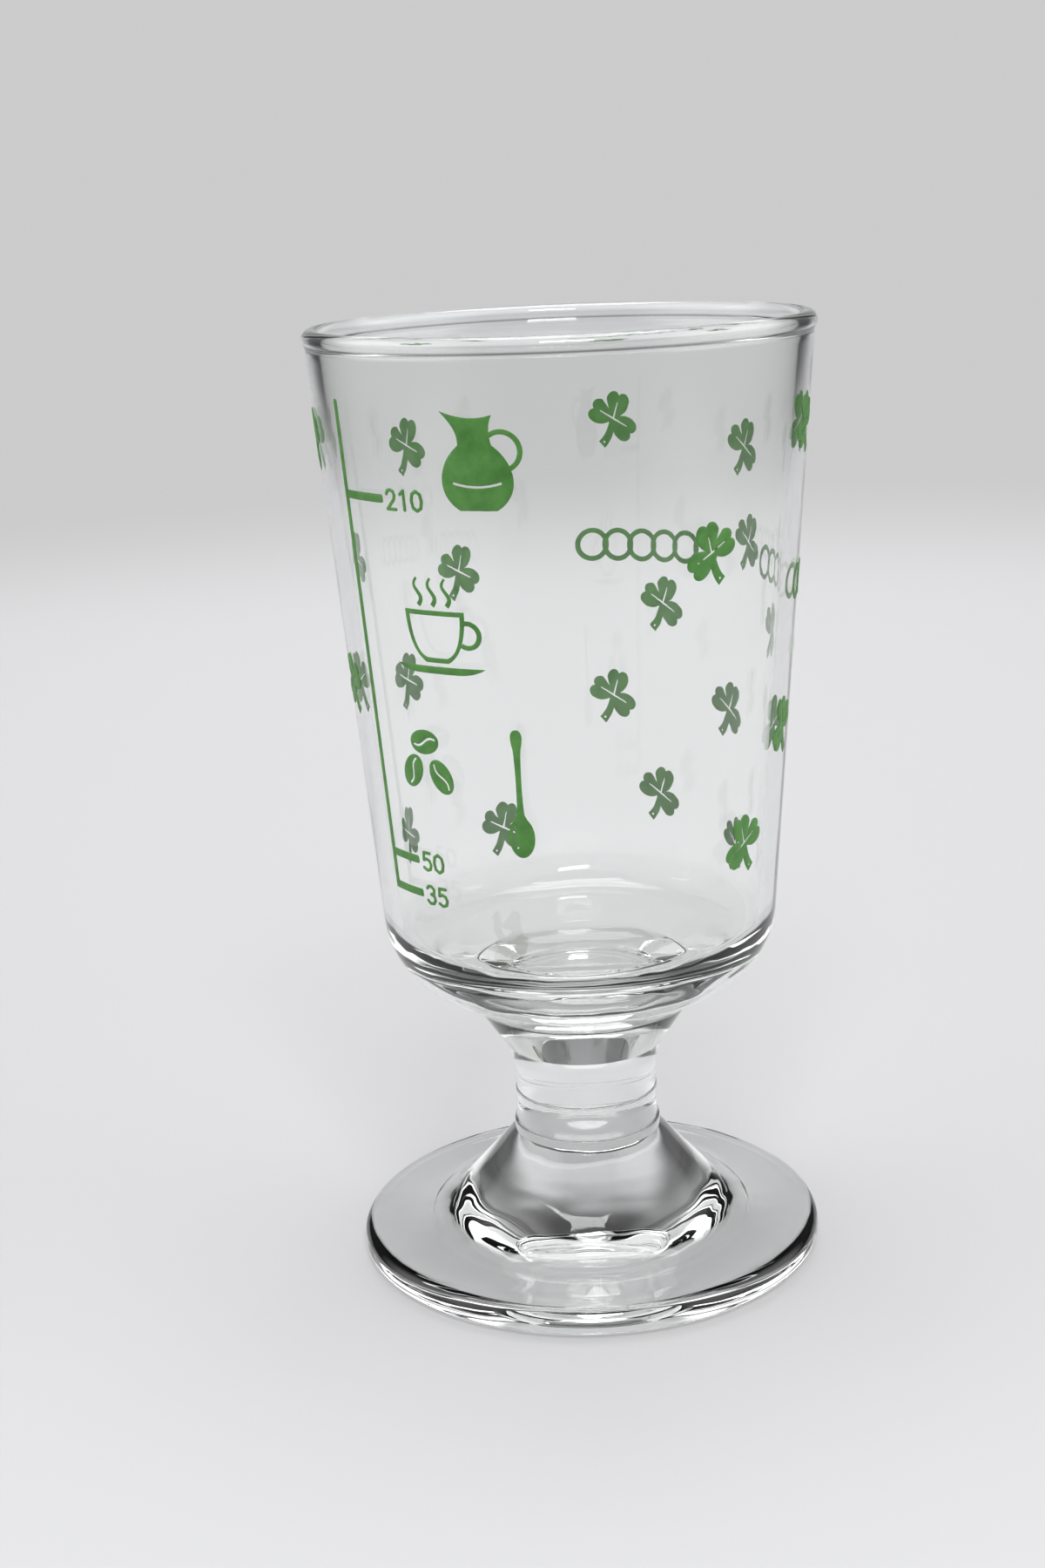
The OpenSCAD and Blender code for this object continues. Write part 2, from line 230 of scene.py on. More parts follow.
# Heights and sizes that follow from these
CORNER_Z = BOWL_Z + BASE_H
WALL_H = HEIGHT - CORNER_Z
SEAM_R = STEM_TOP_R + SEAM_STEP
PRINT_LOW_Z = CORNER_Z + SHOULDER_R * 0.6
PRINT_HIGH_Z = HEIGHT - BEAD_R * 2
CUT_R = STALK_W * 0.12
CHAIN_GAP = LEAF_L * 1.55
PLACE_ROOM = LEAF_L * 1.05
PLACE_LOW_Z = PRINT_LOW_Z + PLACE_ROOM
PLACE_H = PRINT_HIGH_Z - PLACE_ROOM - PLACE_LOW_Z


def wall_r(z):
    """Radius of the outside of the wall at height z."""
    return BASE_R + (MOUTH_R - BASE_R) * (z - CORNER_Z) / WALL_H


def wall_thick(z):
    """Thickness of the wall at height z."""
    return WALL_LOW_T + (WALL_T - WALL_LOW_T) * (z - CORNER_Z) / WALL_H


def share_z(share):
    """Height at a share of the height for places."""
    return PLACE_LOW_Z + PLACE_H * share


def ease(value, low, high):
    """A smooth rise from 0 at low to 1 at high."""
    t = min(1.0, max(0.0, (value - low) / (high - low)))
    return t * t * (3 - 2 * t)


def bowl_wave(r, z):
    """Depth of the waves in the bowl: none at the seam, under the prints and at the rim."""
    floor_z = BOWL_Z + FLOOR_T
    outside = z < floor_z - UNDER_FLOOR or r > wall_r(z) - wall_thick(z) * 0.7
    if outside:
        above_seam = ease(z, BOWL_Z, BOWL_Z + BOWL_START)
        return THICK_WAVE * above_seam * (1 - ease(z, CORNER_Z, PRINT_LOW_Z - WAVE_START))
    wall = ease(z, floor_z + FLOOR_DISH, floor_z + FLOOR_R * 2)
    rim = 1 - ease(z, PRINT_HIGH_Z - RIM_START, PRINT_HIGH_Z)
    return (THICK_WAVE + (WALL_WAVE - THICK_WAVE) * wall) * rim


def stem_wave(r, z):
    """Depth of the waves in the stem: none at its seams."""
    above_seam = ease(z, STEM_Z, STEM_Z + WAVE_START)
    return STEM_WAVE * above_seam * (1 - ease(z, BOWL_Z - WAVE_START, BOWL_Z))


def foot_wave(r, z):
    """Depth of the waves in the foot: none at its seam and where it rests."""
    above_rest = ease(z, 0, WAVE_START)
    return THICK_WAVE * above_rest * (1 - ease(z, STEM_Z - COLLAR_H * 2, STEM_Z - COLLAR_H))


# Outlines of the glass
def rounded(points):
    """An open line of (x, y, radius) corners, with each corner turned into an arc."""
    out = []
    for i, (x, y, radius) in enumerate(points):
        here = Vector((x, y))
        if radius == 0 or i in (0, len(points) - 1):
            out.append(here)
            continue
        back = Vector(points[i - 1][:2]) - here
        ahead = Vector(points[i + 1][:2]) - here
        half = back.angle(ahead) / 2
        reach = min(radius / math.tan(half), 0.49 * back.length, 0.49 * ahead.length)
        radius = reach * math.tan(half)
        back.normalize()
        ahead.normalize()
        centre = here + (back + ahead).normalized() * radius / math.sin(half)
        start = here + back * reach - centre
        end = here + ahead * reach - centre
        sweep = math.atan2(start.x * end.y - start.y * end.x, start.dot(end))
        steps = max(1, math.ceil(abs(math.degrees(sweep)) / ARC_STEP))
        for k in range(steps + 1):
            out.append(centre + Matrix.Rotation(sweep * k / steps, 2) @ start)
    return out


def curve(a, b, c, d, steps):
    """Points of a cubic curve with end points a, d and handles b, c."""
    out = []
    for i in range(steps + 1):
        t = i / steps
        s = 1 - t
        out.append(Vector([
            s ** 3 * a[k] + 3 * s * s * t * b[k] + 3 * s * t * t * c[k] + t ** 3 * d[k]
            for k in (0, 1)
        ]))
    return out


def arc(centre, radius, start, end, steps):
    """Points of an arc between two angles in degrees."""
    angles = [math.radians(start + (end - start) * i / steps) for i in range(steps + 1)]
    return [Vector((centre[0] + radius * math.cos(a), centre[1] + radius * math.sin(a)))
            for a in angles]


def bowl_profile():
    """The bowl from the middle of its seam, round the outside and the rim, to its floor."""
    bead_z = HEIGHT - BEAD_R
    bead_x = wall_r(bead_z) + BEAD_PROUD - BEAD_R
    neck_z = HEIGHT - BEAD_R * 2.9
    neck_r = wall_r(neck_z)
    inner_neck_r = neck_r - wall_thick(neck_z)
    floor_z = BOWL_Z + FLOOR_T
    edge_z = floor_z + FLOOR_DISH
    inner_r = wall_r(edge_z) - wall_thick(edge_z)
    outside = rounded([
        (0, BOWL_Z, 0), (STEM_TOP_R, BOWL_Z, 0), (SEAM_R, BOWL_Z, SEAM_FILLET),
        (LUG_R, BOWL_Z + LUG_H, LUG_FILLET), (BASE_R, CORNER_Z, SHOULDER_R),
        (neck_r, neck_z, 0),
    ])
    bead = arc((bead_x, bead_z), BEAD_R, -25, 205, 44)
    lead = BEAD_LEAD
    swell = curve(outside[-1], (neck_r + NECK_SWELL, bead_z - BEAD_R * 0.9),
                  (bead[0].x - lead.x, bead[0].y - lead.y), bead[0], 8)
    draw_in = curve(bead[-1], (bead[-1].x + lead.x, bead[-1].y - lead.y),
                    (inner_neck_r + NECK_SWELL, bead_z - BEAD_R * 0.9), (inner_neck_r, neck_z), 8)
    inside = rounded([
        (inner_neck_r, neck_z, 0), (inner_r, edge_z, FLOOR_R),
        (inner_r / 2, floor_z + FLOOR_DISH * 0.15, inner_r), (0, floor_z, 0),
    ])
    return outside + swell[1:] + bead[1:] + draw_in[1:] + inside[1:]


def stem_profile():
    """The stem from the middle of its lower seam, round the outside, to its upper seam."""
    flare_z = STEM_Z + WAIST_H
    flare_h = BOWL_Z - flare_z
    ring_z = STEM_Z + WAIST_H * 0.7
    ring = [Vector((WAIST_R + RING_PROUD * math.cos(math.radians(a)),
                    ring_z + RING_H / 2 * math.sin(math.radians(a))))
            for a in range(-90, 91, 15)]
    flare = [Vector((WAIST_R + (STEM_TOP_R - WAIST_R) * (i / 24) ** 1.7,
                     flare_z + flare_h * i / 24)) for i in range(25)]
    return ([Vector((0, STEM_Z)), Vector((WAIST_R, STEM_Z))] + ring + flare
            + [Vector((0, BOWL_Z))])


def foot_profile():
    """The foot from the middle of its seam, down the bell and round the edge, to its hollow."""
    neck_r = WAIST_R + COLLAR_PROUD
    neck_z = STEM_Z - COLLAR_H
    brim_r = FOOT_R - EDGE_T * 0.9
    brim_z = EDGE_T * 1.06
    ring_r = brim_r - REST_W
    bell_foot = (BELL_D / 2, EDGE_T * 1.34)
    neck = rounded([
        (0, STEM_Z, 0), (WAIST_R, STEM_Z, 0), (neck_r, STEM_Z, COLLAR_PROUD * 0.9),
        (neck_r, neck_z, COLLAR_PROUD), (neck_r - COLLAR_PROUD * 0.4, neck_z, 0),
    ])
    bell = curve(neck[-1], bell_foot, bell_foot, (brim_r, brim_z), 48)
    edge = rounded([
        (brim_r, brim_z, 0), (FOOT_R, EDGE_T, EDGE_T / 2), (FOOT_R, 0, EDGE_T / 2),
        (brim_r, 0, 0),
    ])
    hollow = curve((ring_r, 0), (ring_r * 0.82, HOLLOW_H * 0.85), (ring_r * 0.48, HOLLOW_H),
                   (0, HOLLOW_H), 36)
    return neck + bell[1:] + edge[1:] + hollow


# Makers of meshes
def finish_mesh(name, mesh, materials, smooth_angle):
    """Links a mesh as a piece with its materials and smooth shading."""
    for material in materials:
        mesh.materials.append(material)
    mesh.shade_smooth()
    mesh.set_sharp_from_angle(angle=math.radians(smooth_angle))
    piece = bpy.data.objects.new(name, mesh)
    bpy.context.scene.collection.objects.link(piece)
    return piece


def lathe(name, profile, materials, joint_faces, wave):
    """A closed solid of revolution with waves of a depth wave(r, z), which go into the glass.

    joint_faces(p, q) picks the steps of the profile whose faces have the second material.
    """
    bm = bmesh.new()
    rings = []
    last = len(profile) - 1
    for i, (r, z) in enumerate(profile):
        run = (profile[min(i + 1, last)] - profile[max(i - 1, 0)]).normalized()
        out = Vector((run.y, -run.x))
        ring = []
        for k in range(LATHE_STEPS if r > TINY else 1):
            a = 2 * math.pi * k / LATHE_STEPS
            side = Vector((math.sin(a), -math.cos(a), 0))
            spot = side * r + Vector((0, 0, z))
            swell = sum(share * noise.noise(spot / length) for length, share in WAVE_LENGTHS)
            depth = wave(r, z) * (1 + swell) / 2
            move = side * out.x + Vector((0, 0, out.y)) if r > TINY else Vector((0, 0, out.y))
            ring.append(bm.verts.new((spot - move * depth) * MM))
        rings.append(ring)
    for (low, high), (p, q) in zip(zip(rings, rings[1:]), zip(profile, profile[1:])):
        picked = joint_faces(p, q)
        for k in range(LATHE_STEPS):
            n = (k + 1) % LATHE_STEPS
            if len(low) == 1:
                corners = (low[0], high[n], high[k])
            elif len(high) == 1:
                corners = (low[k], low[n], high[0])
            else:
                corners = (low[k], low[n], high[n], high[k])
            bm.faces.new(corners).material_index = 1 if picked else 0
    bmesh.ops.recalc_face_normals(bm, faces=bm.faces)
    mesh = bpy.data.meshes.new(name)
    bm.to_mesh(mesh)
    bm.free()
    return finish_mesh(name, mesh, materials, SMOOTH_GLASS)


def split_line(points):
    """A closed line of points with no step longer than the grid."""
    out = []
    for a, b in zip(points, points[1:] + points[:1]):
        n = max(1, math.ceil((b - a).length / OUTLINE_STEP))
        out += [a.lerp(b, k / n) for k in range(n)]
    return out


def inside(point, polygon):
    """True if a point lies in a polygon."""
    hit = False
    for a, b in zip(polygon, polygon[1:] + polygon[:1]):
        if (a.y > point.y) != (b.y > point.y):
            if point.x < a.x + (point.y - a.y) * (b.x - a.x) / (b.y - a.y):
                hit = not hit
    return hit


def shaken(line, level, ragged):
    """A line with its points moved a little; each level of the noise moves them in another way."""
    out = []
    for p in line:
        spot = Vector((p.x * RAGGED_SCALE, p.y * RAGGED_SCALE, level))
        shake = noise.noise_vector(spot) * ragged
        out.append(Vector((p.x + shake.x, p.y + shake.y)))
    return out


def grid_points(outlines, solids):
    """Points of a triangular grid laid over all outlines, where they lie in one of the solids."""
    lows = [min(p[k] for line in outlines for p in line) for k in (0, 1)]
    highs = [max(p[k] for line in outlines for p in line) for k in (0, 1)]
    rows = int((highs[1] - lows[1]) / GRID_ROW) + 1
    columns = int((highs[0] - lows[0]) / GRID) + 1
    out = []
    for j in range(rows):
        for i in range(columns):
            spot = Vector((lows[0] + GRID * (i + (j % 2) / 2), lows[1] + GRID_ROW * j))
            if any(inside(spot, line) for line in solids):
                out.append(spot)
    return out


def border_edges(triangles):
    """The edges that only one triangle has, each in its triangle's direction."""
    edges = {}
    for t in triangles:
        for a, b in zip(t, list(t[1:]) + [t[0]]):
            key = (min(a, b), max(a, b))
            edges[key] = None if key in edges else (a, b)
    return [pair for pair in edges.values() if pair]


def search_tree(points):
    """A tree that finds the nearest one of some flat points."""
    tree = kdtree.KDTree(len(points))
    for i, p in enumerate(points):
        tree.insert((p.x, p.y, 0), i)
    tree.balance()
    return tree


def print_mesh(bm, solids, holes, angle, z, ragged=RAGGED, flat_side=None):
    """Adds a flat figure, laid on the wall, to bm: solids less holes, as outlines.

    Its edge is thin, except to the left of flat_side, where it meets another print.
    """
    outlines = [split_line(line) for line in solids + holes]
    verts = []
    faces = []
    for k, line in enumerate(outlines):
        faces.append(list(range(len(verts), len(verts) + len(line))))
        verts += shaken(line, angle + k, ragged)
    verts += grid_points(outlines, outlines[:len(solids)])
    points, _, triangles, _, _, owners = geometry.delaunay_2d_cdt(verts, [], faces, 0, MERGE_GAP)
    kept = [t for t, own in zip(triangles, owners)
            if any(o < len(solids) for o in own) and not any(o >= len(solids) for o in own)]
    border = border_edges(kept)
    rim_points = {}
    for a, b in border:
        middle = (points[a] + points[b]) / 2
        if flat_side is None or middle.x > flat_side:
            for p in (points[a], middle, points[b]):
                rim_points[(round(p.x, 4), round(p.y, 4))] = p
    tree = search_tree(rim_points.values())
    turn = Matrix.Rotation(math.radians(angle), 3, "Z")

    def place(p, out):
        r = wall_r(z + p.y) + out
        return turn @ Vector((p.x, -math.sqrt(r * r - p.x * p.x), z + p.y)) * MM

    top = {}
    under = {}
    for i in sorted({i for t in kept for i in t}):
        p = points[i]
        near = tree.find((p.x, p.y, 0))[2]
        rise = min(1.0, near / SOFT_EDGE)
        crown = EDGE_SHARE + (1 - EDGE_SHARE) * rise * (2 - rise)
        top[i] = bm.verts.new(place(p, PRINT_T * crown))
        under[i] = bm.verts.new(place(p, -SINK))
    for a, b, c in kept:
        bm.faces.new((top[a], top[b], top[c]))
        bm.faces.new((under[c], under[b], under[a])).material_index = 1
    for a, b in border:
        bm.faces.new((top[b], top[a], under[a], under[b]))


def print_piece(name, node, figures, **options):
    """One enamel print from (solids, holes, angle, z) figures, replacing its CAD node."""
    bm = bmesh.new()
    for solids, holes, angle, z in figures:
        print_mesh(bm, solids, holes, angle, z, **options)
    bmesh.ops.recalc_face_normals(bm, faces=bm.faces)
    mesh = bpy.data.meshes.new(name)
    bm.to_mesh(mesh)
    bm.free()
    piece = finish_mesh(name, mesh, [enamel, enamel_back], SMOOTH_PRINT)
    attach(piece, BODY)
    if node:
        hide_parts(node)


# Flat figures, in millimetres, round the place that they are laid on
def vectors(points, scale=1.0):
    """Plane vectors from points, times a scale."""
    return [Vector((p[0] * scale, p[1] * scale)) for p in points]


def turned(points, degrees, shift=(0, 0)):
    """Points turned about the middle and then moved."""
    spin = Matrix.Rotation(math.radians(degrees), 2)
    return [spin @ p + Vector(shift) for p in points]


def mirrored(points):
    """Points mirrored left to right and run backwards."""
    return [Vector((-p.x, p.y)) for p in reversed(points)]


def circle(centre, radius, steps=48):
    """A full circle of points."""
    return arc(centre, radius, 0, 360, steps)[:-1]


def band(points, w0, w1):
    """Outline of a band along points, of width w0 at its start and w1 at its end."""
    last = len(points) - 1
    left = []
    right = []
    for i, p in enumerate(points):
        run = (points[min(i + 1, last)] - points[max(i - 1, 0)]).normalized()
        side = Vector((-run.y, run.x)) * (w0 + (w1 - w0) * i / last) / 2
        left.append(p + side)
        right.append(p - side)
    return right + left[::-1]


def shamrock_figure():
    """Three heart-shaped leaves on a curved stalk; veins and the stalk's cut end are unprinted.

    A narrow wedge makes the notch between the two upper leaves deeper.
    """
    side = (curve((0, 0), (0.26, 0.12), (0.5, 0.3), (0.5, 0.64), 10)
            + curve((0.5, 0.64), (0.5, 0.98), (0.16, 1.1), (0, 0.88), 12)[1:])
    leaf = [Vector((p.x * LEAF_W, p.y * LEAF_L)) for p in side + mirrored(side[1:])[1:]]
    stalk = vectors(curve((0, 0), (0.05, 0.35), (0.06, 0.7), (-0.1, 1), 10), STALK_L)
    vein = band(vectors([(0, 0), (0, VEIN_SHARE / 2), (0, VEIN_SHARE)], LEAF_L),
                VEIN_W, VEIN_W / 2)
    solids = [circle((0, 0), LEAF_W / 4)] + [turned(leaf, a) for a in LEAF_ANGLES]
    solids.append(turned(band(stalk, STALK_W * 0.7, STALK_W), STALK_ANGLE))
    cut_end = circle((-0.05 * STALK_L, 0.88 * STALK_L), CUT_R, 16)
    wedge = vectors([(0, WEDGE_START_SHARE), (WEDGE_HALF_SHARE, 1), (-WEDGE_HALF_SHARE, 1)],
                    LEAF_L)
    return solids, ([turned(vein, a) for a in VEIN_ANGLES]
                    + [turned(wedge, WEDGE_ANGLE), turned(cut_end, STALK_ANGLE)])


def cup_figure():
    """A cup on a saucer with three curls of steam."""
    def body(inset):
        w = CUP_W / 3 - inset
        h = CUP_W * 0.5
        side = curve((w * 0.38, inset), (w * 0.8, h * 0.16), (w * 0.98, h * 0.5),
                     (w, h - inset), 12)
        return side + mirrored(side)

    rim_z = CUP_W * 0.5
    handle = (CUP_W * 0.35, rim_z * 0.56)
    handle_r = CUP_W * 0.14
    inner = body(STROKE_W)
    middle = arc(handle, handle_r - STROKE_W / 2, -125, 108, 30)
    saucer = curve((CUP_W * 0.22, 0), (CUP_W * 0.34, 0), (CUP_W * 0.44, STROKE_W * 0.6),
                   (CUP_W / 2, STROKE_W * 1.5), 8)
    plate = [p - Vector((0, STROKE_W * 2.3)) for p in saucer + mirrored(saucer)]
    solids = [body(0), band(middle, STROKE_W, STROKE_W), plate]
    for i in (-1, 0, 1):
        steam = [Vector((i * CUP_W * 0.16 + CUP_W * 0.035 * math.sin(math.radians(t * 24)),
                         rim_z + STROKE_W + CUP_W * 0.26 * t / 15)) for t in range(16)]
        solids.append(band(steam, STROKE_W, STROKE_W / 2))
    return solids, [inner]


def jug_figure():
    """A pot-bellied cream jug with a spout and a ring handle."""
    belly = curve((0.2, 0), (0.47, 0.16), (0.42, 0.48), (0.18, 0.66), 16)
    back = curve((0.18, 0.66), (0.15, 0.74), (0.15, 0.88), (0.2, 0.96), 8)
    lip = curve((0.2, 0.96), (0.02, 0.91), (-0.14, 0.92), (-0.36, 1), 10)
    spout = curve((-0.36, 1), (-0.26, 0.9), (-0.17, 0.8), (-0.18, 0.66), 10)
    outline = belly + back[1:] + lip[1:] + spout[1:] + mirrored(belly)[1:]
    handle = arc((0.27 * JUG_H, 0.6 * JUG_H), JUG_H * 0.22 - STROKE_W / 2, -100, 126, 30)
    stripe = vectors([(0.26 * t / 5, 0.24 + 0.04 * (t / 5) ** 2) for t in range(-5, 6)], JUG_H)
    return ([vectors(outline, JUG_H), band(handle, STROKE_W, STROKE_W)],
            [band(stripe, GAP_W, GAP_W)])


def bean_figure(turn, shift):
    """One coffee bean with its curved groove, turned and moved."""
    oval = [Vector((BEAN_L / 2 * math.cos(math.radians(a)),
                    BEAN_L / 2 * 0.68 * math.sin(math.radians(a)))) for a in range(0, 360, 10)]
    groove = [Vector((BEAN_L / 2 * t / 10, BEAN_L / 2 * 0.16 * math.sin(math.radians(t * 20))))
              for t in range(-8, 9)]
    shift = (BEAN_L * shift[0], BEAN_L * shift[1])
    return turned(oval, turn, shift), turned(band(groove, GAP_W, GAP_W), turn, shift)


def spoon_figure():
    """A spoon standing upright with a gleam in its bowl."""
    side = [Vector((0.1 * math.cos(math.radians(a)), 0.16 + 0.16 * math.sin(math.radians(a))))
            for a in range(-90, 61, 10)]
    side += curve((0.03, 0.34), (0.02, 0.42), (0.018, 0.6), (0.026, 0.8), 10)
    side += curve((0.032, 0.86), (0.05, 0.92), (0.055, 1), (0, 1), 8)
    gleam = [Vector((0.062 * math.cos(math.radians(a)), 0.17 + 0.11 * math.sin(math.radians(a))))
             for a in range(120, 241, 10)]
    outline = side + mirrored(side[1:])[1:]
    return ([vectors(outline, SPOON_L)],
            [band(vectors(gleam, SPOON_L), GAP_W, GAP_W)])


def chain_figures():
    """The two halves of the chain border, rows of interlinked rings with a gap between them."""
    z = share_z(CHAIN_SHARE)
    figures = []
    for side, count in zip((-1, 1), CHAIN_COUNTS):
        middle = CHAIN_GAP + (LINK_D + LINK_PITCH * (count - 1)) / 2
        angle = CHAIN_ANGLE + side * math.degrees(middle / wall_r(z))
        links = []
        for i in range(count):
            centre = (LINK_PITCH * (i - (count - 1) / 2), 0)
            ring = arc(centre, LINK_D / 2 - LINK_W / 2, 0, 180, 24)
            links.append(band(ring, LINK_W, LINK_W))
            ring = arc(centre, LINK_D / 2 - LINK_W / 2, 180, 360, 24)
            links.append(band(ring, LINK_W, LINK_W))
        figures.append((links, [], angle, z))
    return figures


# Strokes of the numerals' digits, in a box one wide and one high
DIGITS = {
    "0": [[(0.5, 1), (0.12, 0.86), (0, 0.5), (0.12, 0.14), (0.5, 0), (0.88, 0.14), (1, 0.5),
           (0.88, 0.86), (0.5, 1)]],
    "1": [[(0.2, 0.8), (0.58, 1)], [(0.58, 1), (0.58, 0)]],
    "2": [[(0.05, 0.78), (0.2, 0.95), (0.5, 1), (0.82, 0.93), (0.95, 0.73), (0.84, 0.5),
           (0.05, 0)], [(0.05, 0), (1, 0)]],
    "3": [[(0.06, 0.85), (0.3, 1), (0.65, 1), (0.9, 0.85), (0.86, 0.62), (0.5, 0.54)],
          [(0.5, 0.54), (0.88, 0.46), (0.96, 0.22), (0.72, 0.02), (0.3, 0), (0.04, 0.15)]],
    "5": [[(0.9, 1), (0.2, 1)], [(0.2, 1), (0.12, 0.56)],
          [(0.12, 0.56), (0.45, 0.65), (0.8, 0.58), (0.97, 0.34), (0.83, 0.08), (0.45, 0),
           (0.06, 0.12)]],
}


def numeral_figure(text):
    """A plain numeral drawn with round-ended strokes, its left end at the middle."""
    solids = []
    for k, digit in enumerate(text):
        for line in DIGITS[digit]:
            points = [Vector((k * DIGIT_STEP + x * DIGIT_W, (y - 0.5) * DIGIT_H)) for x, y in line]
            for a, b in zip(points, points[1:]):
                solids.append(band([a, b], DIGIT_STROKE, DIGIT_STROKE))
            solids += [circle(p, DIGIT_STROKE / 2, 14) for p in points]
    return solids


# Materials
def node_maker(tree):
    """A function that adds a node to a tree, with values or links for its inputs."""
    def add(kind, **settings):
        node = tree.nodes.new(kind)
        for key, value in settings.items():
            if key in node.inputs:
                socket = node.inputs[key]
                if isinstance(value, bpy.types.NodeSocket):
                    tree.links.new(value, socket)
                else:
                    socket.default_value = value
            else:
                setattr(node, key, value)
        return node
    return add


def new_material(name):
    """An empty node material, with its node maker and its output's surface socket."""
    material = bpy.data.materials.new(name)
    material.use_nodes = True
    tree = material.node_tree
    tree.nodes.clear()
    output = tree.nodes.new("ShaderNodeOutputMaterial")
    return material, node_maker(tree), tree.links, output.inputs["Surface"]


def two_values(add, operation, first, second):
    """The result of a sum on two values, each a number or another node's output."""
    node = add("ShaderNodeMath", operation=operation)
    for socket, value in zip(node.inputs, (first, second)):
        if isinstance(value, bpy.types.NodeSocket):
            node.id_data.links.new(value, socket)
        else:
            socket.default_value = value
    return node.outputs["Value"]


def seen_plainly(add):
    """One where something is seen straight or through both walls of the bowl, and zero else."""
    path = add("ShaderNodeLightPath").outputs
    through_both = two_values(add, "GREATER_THAN", path["Transmission Depth"], BOTH_WALLS)
    return two_values(add, "MAXIMUM", path["Is Camera Ray"], through_both)


def map_range(add, value, low, high, out_low, out_high):
    """A clamped change of range."""
    node = add("ShaderNodeMapRange")
    node.inputs["From Min"].default_value = low
    node.inputs["From Max"].default_value = high
    node.inputs["To Min"].default_value = out_low
    node.inputs["To Max"].default_value = out_high
    node.id_data.links.new(value, node.inputs["Value"])
    return node.outputs["Result"]


def object_coordinates(add):
    """Coordinates fixed to the object."""
    return add("ShaderNodeTexCoord").outputs["Object"]


def glass_material():
    """Clear pressed glass: faint haze in patches, and soft waves left by the mould."""
    material, add, links, surface = new_material("pressed_glass")
    place = object_coordinates(add)
    haze = add("ShaderNodeTexNoise", Scale=45.0, Detail=4.0, Roughness=0.6, Vector=place)
    waves = add("ShaderNodeTexNoise", Scale=70.0, Detail=1.0, Vector=place)
    bump = add("ShaderNodeBump", Strength=0.05, Distance=0.001)
    links.new(waves.outputs["Fac"], bump.inputs["Height"])
    glass = add("ShaderNodeBsdfPrincipled", IOR=GLASS_IOR)
    glass.inputs["Base Color"].default_value = GLASS_TINT
    glass.inputs["Transmission Weight"].default_value = 1.0
    roughness = map_range(add, haze.outputs["Fac"], 0.5, 0.75, 0.0, HAZE)
    links.new(roughness, glass.inputs["Roughness"])
    links.new(bump.outputs["Normal"], glass.inputs["Normal"])

    # Lamps reach what is behind the glass, less where it is seen edge on
    facing = add("ShaderNodeLayerWeight", Blend=0.5)
    dim = map_range(add, facing.outputs["Facing"], 0.3, 1.0, *LIGHT_THROUGH)
    through = add("ShaderNodeBsdfTransparent")
    links.new(dim, through.inputs["Color"])
    path = add("ShaderNodeLightPath").outputs
    either = two_values(add, "MAXIMUM", path["Is Shadow Ray"], path["Is Diffuse Ray"])
    mix = add("ShaderNodeMixShader", Fac=either)
    links.new(glass.outputs["BSDF"], mix.inputs[1])
    links.new(through.outputs["BSDF"], mix.inputs[2])
    links.new(mix.outputs["Shader"], surface)
    return material


def joint_material():
    """The fused seam inside the glass, which doesn't show."""
    material, add, links, surface = new_material("fused_seam")
    clear = add("ShaderNodeBsdfTransparent")
    links.new(clear.outputs["BSDF"], surface)
    return material


def enamel_material(name, gloss):
    """Fired green enamel: satin, slightly uneven, with some light coming through.

    Its back is fused to the glass and has no gloss of its own.
    """
    material, add, links, surface = new_material(name)
    place = object_coordinates(add)
    patches = add("ShaderNodeTexNoise", Scale=350.0, Detail=3.0, Roughness=0.55, Vector=place)
    grains = add("ShaderNodeTexNoise", Scale=3200.0, Detail=2.0, Vector=place)
    colour = add("ShaderNodeValToRGB")
    links.new(patches.outputs["Fac"], colour.inputs["Fac"])
    ramp = colour.color_ramp
    ramp.elements[0].position = 0.3
    ramp.elements[0].color = ENAMEL_DARK
    ramp.elements[1].position = 0.72
    ramp.elements[1].color = ENAMEL_LIGHT
    bump = add("ShaderNodeBump", Strength=0.12, Distance=0.00005)
    links.new(grains.outputs["Fac"], bump.inputs["Height"])
    coat = add("ShaderNodeBsdfPrincipled", IOR=ENAMEL_IOR)
    coat.inputs["Specular IOR Level"].default_value = gloss
    links.new(colour.outputs["Color"], coat.inputs["Base Color"])
    roughness = map_range(add, patches.outputs["Fac"], 0.3, 0.7, *ENAMEL_ROUGHNESS)
    links.new(roughness, coat.inputs["Roughness"])
    links.new(bump.outputs["Normal"], coat.inputs["Normal"])
    through = add("ShaderNodeBsdfTranslucent")
    links.new(colour.outputs["Color"], through.inputs["Color"])
    mix = add("ShaderNodeMixShader", Fac=ENAMEL_THROUGH)
    links.new(coat.outputs["BSDF"], mix.inputs[1])
    links.new(through.outputs["BSDF"], mix.inputs[2])
    links.new(mix.outputs["Shader"], surface)
    return material


